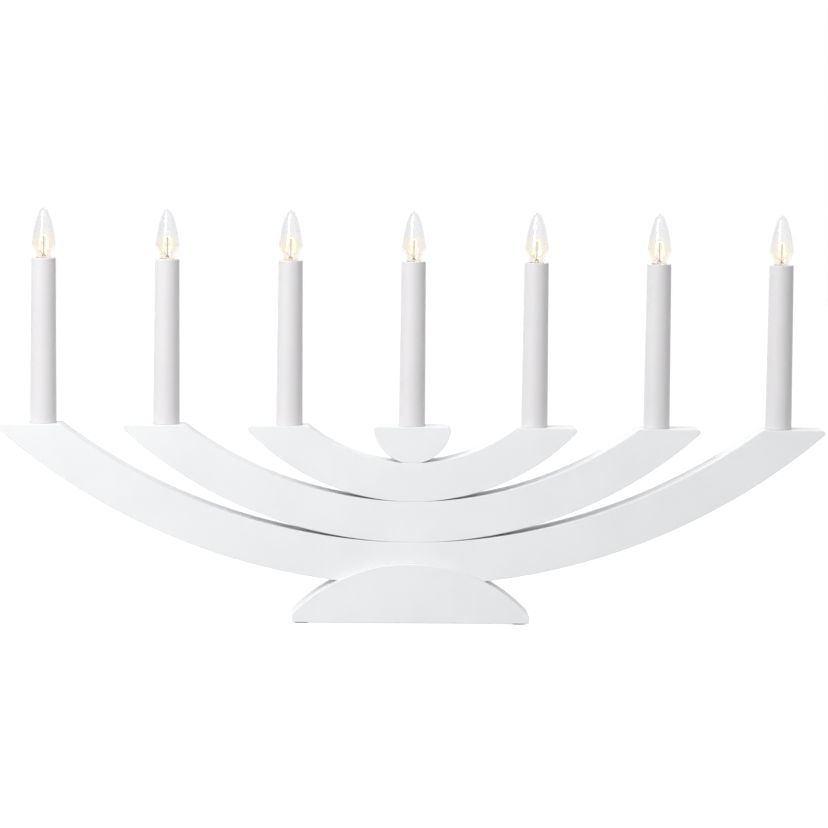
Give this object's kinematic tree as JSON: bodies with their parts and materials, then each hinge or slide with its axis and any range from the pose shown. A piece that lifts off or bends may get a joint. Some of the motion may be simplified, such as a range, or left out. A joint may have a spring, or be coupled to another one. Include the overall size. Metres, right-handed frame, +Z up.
{
  "type": "electric candlestick",
  "caption": "Electric candlestick: stacked curved wooden arms on a half-moon base, with tubular candle sleeves and clear screw-in candle bulbs.",
  "frame": {"origin": "middle of the footprint, on the surface that the candlestick stands on", "axes": "+X to the right along the row of candles, +Y to the rear, +Z up"},
  "size_m": [0.5922, 0.031, 0.2955],
  "materials": {
    "painted_wood": "white satin paint on wood",
    "sleeve_plastic": "warm white semi-gloss plastic",
    "holder_plastic": "white moulded plastic",
    "bulb_glass": "clear blown glass",
    "nickel_cap": "nickel-plated brass",
    "solder": "dull solder",
    "filament": "glowing tungsten wire on a glass stem",
    "beech": "raw beech",
    "zinc_steel": "bright zinc plating",
    "wire_pvc": "white PVC insulation",
    "pad_rubber": "dark rubber"
  },
  "bodies": {
    "stand": {"base": "painted_wood", "outer_arc": "painted_wood", "middle_arc": "painted_wood", "inner_arc": "painted_wood", "centre_plinth": "painted_wood", "arc_dowel_left": "beech", "arc_dowel_right": "beech", "inner_arc_dowel": "beech", "plinth_dowel": "beech", "base_screw_left": "zinc_steel", "base_screw_right": "zinc_steel", "base_pad_left": "pad_rubber", "base_pad_right": "pad_rubber", "outer_wire": "wire_pvc", "middle_wire": "wire_pvc", "inner_wire": "wire_pvc", "riser_wire": "wire_pvc", "cord_gland": "holder_plastic", "candle_sleeve_1": "sleeve_plastic", "candle_sleeve_2": "sleeve_plastic", "candle_sleeve_3": "sleeve_plastic", "candle_sleeve_4": "sleeve_plastic", "candle_sleeve_5": "sleeve_plastic", "candle_sleeve_6": "sleeve_plastic", "candle_sleeve_7": "sleeve_plastic", "lamp_holder_1": "holder_plastic", "lamp_holder_2": "holder_plastic", "lamp_holder_3": "holder_plastic", "lamp_holder_4": "holder_plastic", "lamp_holder_5": "holder_plastic", "lamp_holder_6": "holder_plastic", "lamp_holder_7": "holder_plastic"},
    "bulb_tip_1": {"bulb_contact_1": "solder"},
    "bulb_1": {"bulb_cap_1": "nickel_cap", "bulb_glass_1": "bulb_glass", "bulb_filament_1": "filament"},
    "bulb_tip_2": {"bulb_contact_2": "solder"},
    "bulb_2": {"bulb_cap_2": "nickel_cap", "bulb_glass_2": "bulb_glass", "bulb_filament_2": "filament"},
    "bulb_tip_3": {"bulb_contact_3": "solder"},
    "bulb_3": {"bulb_cap_3": "nickel_cap", "bulb_glass_3": "bulb_glass", "bulb_filament_3": "filament"},
    "bulb_tip_4": {"bulb_contact_4": "solder"},
    "bulb_4": {"bulb_cap_4": "nickel_cap", "bulb_glass_4": "bulb_glass", "bulb_filament_4": "filament"},
    "bulb_tip_5": {"bulb_contact_5": "solder"},
    "bulb_5": {"bulb_cap_5": "nickel_cap", "bulb_glass_5": "bulb_glass", "bulb_filament_5": "filament"},
    "bulb_tip_6": {"bulb_contact_6": "solder"},
    "bulb_6": {"bulb_cap_6": "nickel_cap", "bulb_glass_6": "bulb_glass", "bulb_filament_6": "filament"},
    "bulb_tip_7": {"bulb_contact_7": "solder"},
    "bulb_7": {"bulb_cap_7": "nickel_cap", "bulb_glass_7": "bulb_glass", "bulb_filament_7": "filament"}
  },
  "joints": [
    {"name": "bulb_lift_1", "type": "slide", "parent": "stand", "child": "bulb_tip_1", "axis": [0, 0, 1], "range_m": [0, 0.00726]},
    {"name": "bulb_turn_1", "type": "hinge", "parent": "bulb_tip_1", "child": "bulb_1", "pos_m": [-0.264, 0.002, 0.25], "axis": [0, 0, 1], "range_deg": [0, 1440]},
    {"name": "bulb_lift_2", "type": "slide", "parent": "stand", "child": "bulb_tip_2", "axis": [0, 0, 1], "range_m": [0, 0.00726]},
    {"name": "bulb_turn_2", "type": "hinge", "parent": "bulb_tip_2", "child": "bulb_2", "pos_m": [-0.176, 0.002, 0.25], "axis": [0, 0, 1], "range_deg": [0, 1440]},
    {"name": "bulb_lift_3", "type": "slide", "parent": "stand", "child": "bulb_tip_3", "axis": [0, 0, 1], "range_m": [0, 0.00726]},
    {"name": "bulb_turn_3", "type": "hinge", "parent": "bulb_tip_3", "child": "bulb_3", "pos_m": [-0.088, 0.002, 0.25], "axis": [0, 0, 1], "range_deg": [0, 1440]},
    {"name": "bulb_lift_4", "type": "slide", "parent": "stand", "child": "bulb_tip_4", "axis": [0, 0, 1], "range_m": [0, 0.00726]},
    {"name": "bulb_turn_4", "type": "hinge", "parent": "bulb_tip_4", "child": "bulb_4", "pos_m": [0, 0.002, 0.25], "axis": [0, 0, 1], "range_deg": [0, 1440]},
    {"name": "bulb_lift_5", "type": "slide", "parent": "stand", "child": "bulb_tip_5", "axis": [0, 0, 1], "range_m": [0, 0.00726]},
    {"name": "bulb_turn_5", "type": "hinge", "parent": "bulb_tip_5", "child": "bulb_5", "pos_m": [0.088, 0.002, 0.25], "axis": [0, 0, 1], "range_deg": [0, 1440]},
    {"name": "bulb_lift_6", "type": "slide", "parent": "stand", "child": "bulb_tip_6", "axis": [0, 0, 1], "range_m": [0, 0.00726]},
    {"name": "bulb_turn_6", "type": "hinge", "parent": "bulb_tip_6", "child": "bulb_6", "pos_m": [0.176, 0.002, 0.25], "axis": [0, 0, 1], "range_deg": [0, 1440]},
    {"name": "bulb_lift_7", "type": "slide", "parent": "stand", "child": "bulb_tip_7", "axis": [0, 0, 1], "range_m": [0, 0.00726]},
    {"name": "bulb_turn_7", "type": "hinge", "parent": "bulb_tip_7", "child": "bulb_7", "pos_m": [0.264, 0.002, 0.25], "axis": [0, 0, 1], "range_deg": [0, 1440]}
  ],
  "couplings": [
    {"joint": "bulb_lift_1", "follows": "bulb_turn_1", "m_per_rad": 0.00028871},
    {"joint": "bulb_lift_2", "follows": "bulb_turn_2", "m_per_rad": 0.00028871},
    {"joint": "bulb_lift_3", "follows": "bulb_turn_3", "m_per_rad": 0.00028871},
    {"joint": "bulb_lift_4", "follows": "bulb_turn_4", "m_per_rad": 0.00028871},
    {"joint": "bulb_lift_5", "follows": "bulb_turn_5", "m_per_rad": 0.00028871},
    {"joint": "bulb_lift_6", "follows": "bulb_turn_6", "m_per_rad": 0.00028871},
    {"joint": "bulb_lift_7", "follows": "bulb_turn_7", "m_per_rad": 0.00028871}
  ]
}
